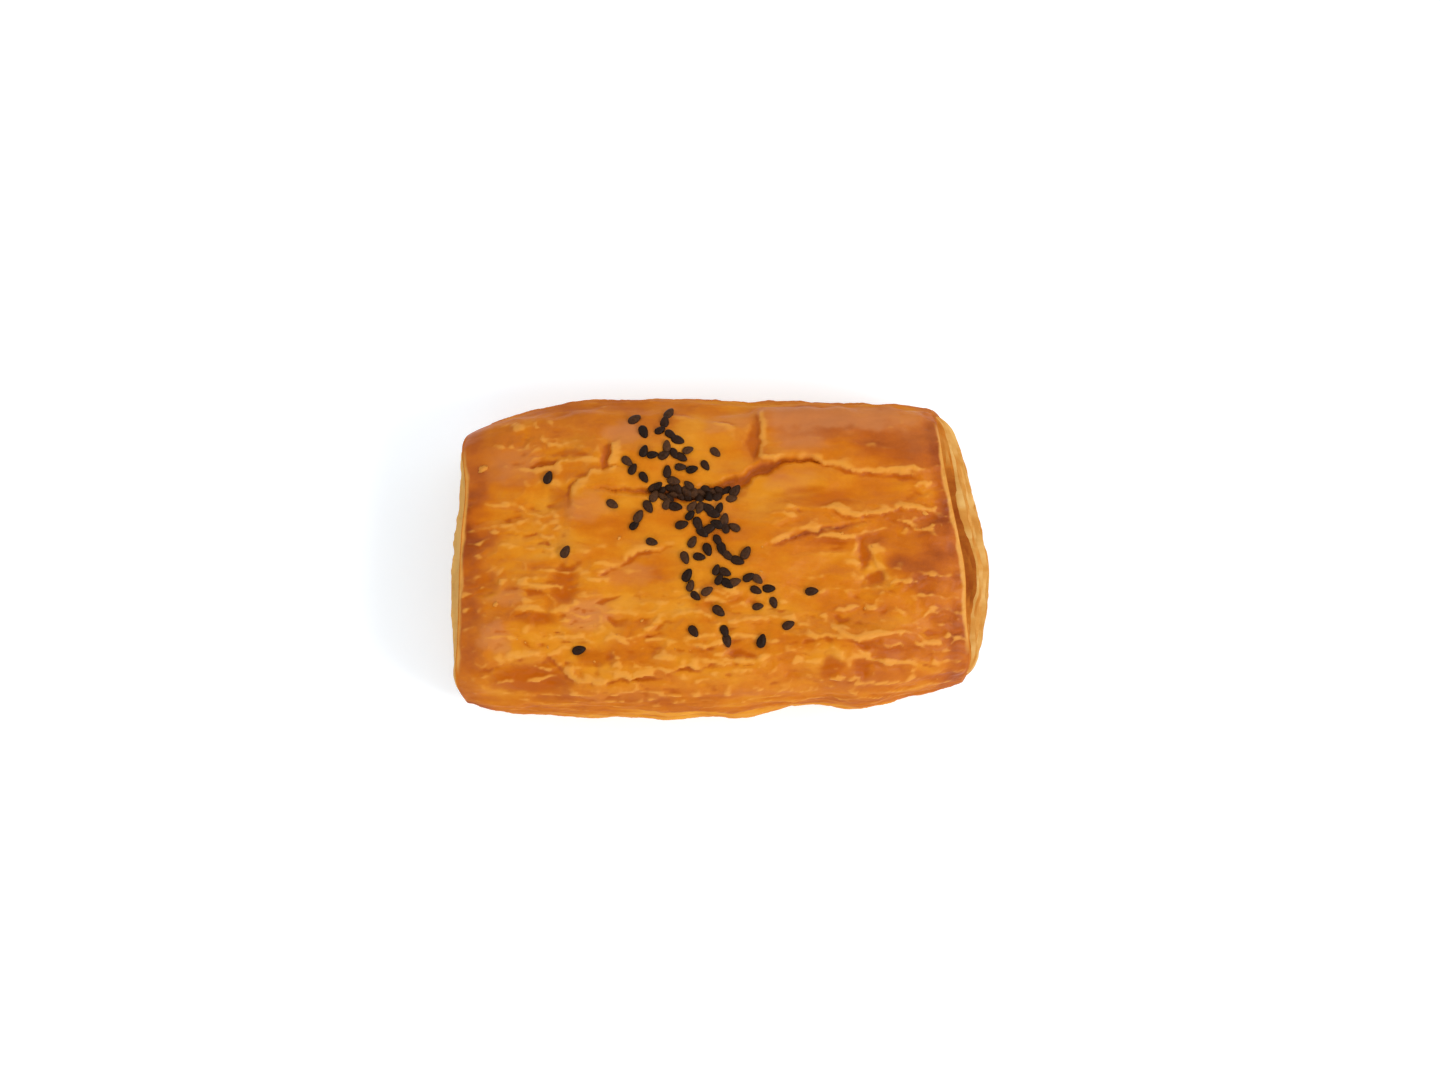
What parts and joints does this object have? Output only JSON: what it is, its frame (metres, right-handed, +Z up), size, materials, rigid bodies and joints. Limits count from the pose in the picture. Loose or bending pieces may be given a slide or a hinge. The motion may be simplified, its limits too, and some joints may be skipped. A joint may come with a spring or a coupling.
{
  "type": "cheese pastry",
  "caption": "Rectangular folded puff pastry with a torn, glazed top crust, layered cut ends and a band of dark seeds; baked food to serve whole.",
  "frame": {"origin": "on the flat base, under the middle of the pastry's bounding box", "axes": "+X along the length towards the right cut end, -Y towards the front fold, +Z up"},
  "size_m": [0.1204, 0.071, 0.0352],
  "materials": {
    "crust": "egg-glazed golden brown crust",
    "seeds": "dull near-black seed coat"
  },
  "bodies": {
    "root": {"pastry": "crust"}
  },
  "joints": []
}
